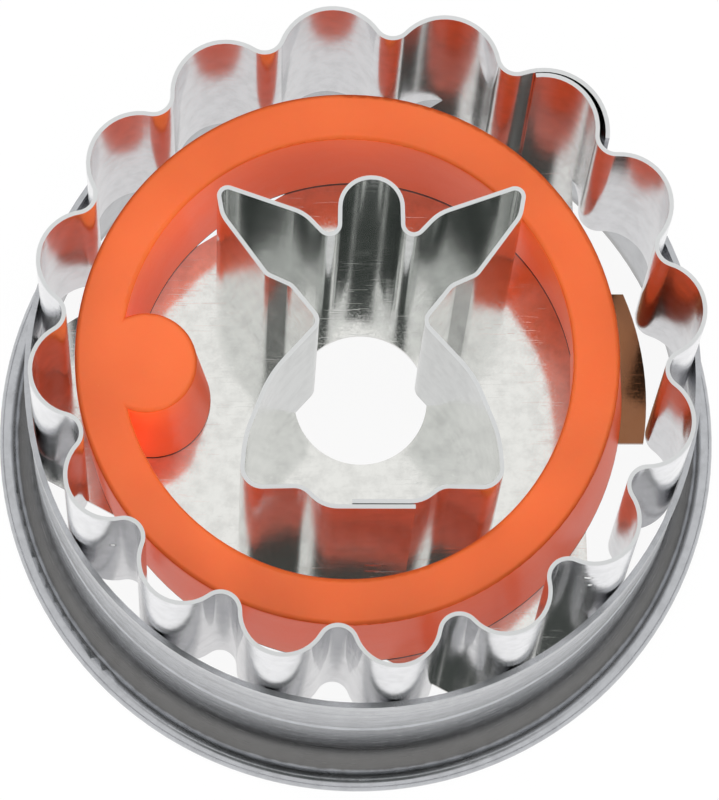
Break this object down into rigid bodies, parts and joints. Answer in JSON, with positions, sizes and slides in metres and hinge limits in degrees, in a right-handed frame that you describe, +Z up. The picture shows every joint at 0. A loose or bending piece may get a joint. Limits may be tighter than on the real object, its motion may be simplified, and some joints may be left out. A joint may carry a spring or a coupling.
{
  "type": "linzer cookie cutter",
  "caption": "Round fluted linzer cookie cutter of tinplate on a rolled grip collar, with an angel insert cutter and an orange push-out ring on a thumb button.",
  "frame": {"origin": "on the cutter's axis, at the bottom of the rolled rim it stands on", "axes": "+Z up towards the cutting edges, +Y towards the angel's head, +X to the angel's left as the picture shows it from the front"},
  "size_m": [0.0534, 0.0534, 0.035],
  "materials": {
    "tinplate": "bright drawn tinplate",
    "tinplate_strip": "bright rolled tinplate strip with cut edges",
    "plate": "bright stamped tinplate",
    "orange_plastic": "semi-gloss moulded orange"
  },
  "bodies": {
    "cutter": {"grip_collar": "tinplate", "base_plate": "plate", "fluted_cutter": "tinplate_strip", "angel_cutter": "tinplate_strip"},
    "ejector": {"ejector_ring": "orange_plastic", "push_button": "orange_plastic"}
  },
  "joints": [
    {"name": "ejector_slide", "type": "slide", "parent": "cutter", "child": "ejector", "axis": [0, 0, 1], "range_m": [0, 0.0081]}
  ]
}
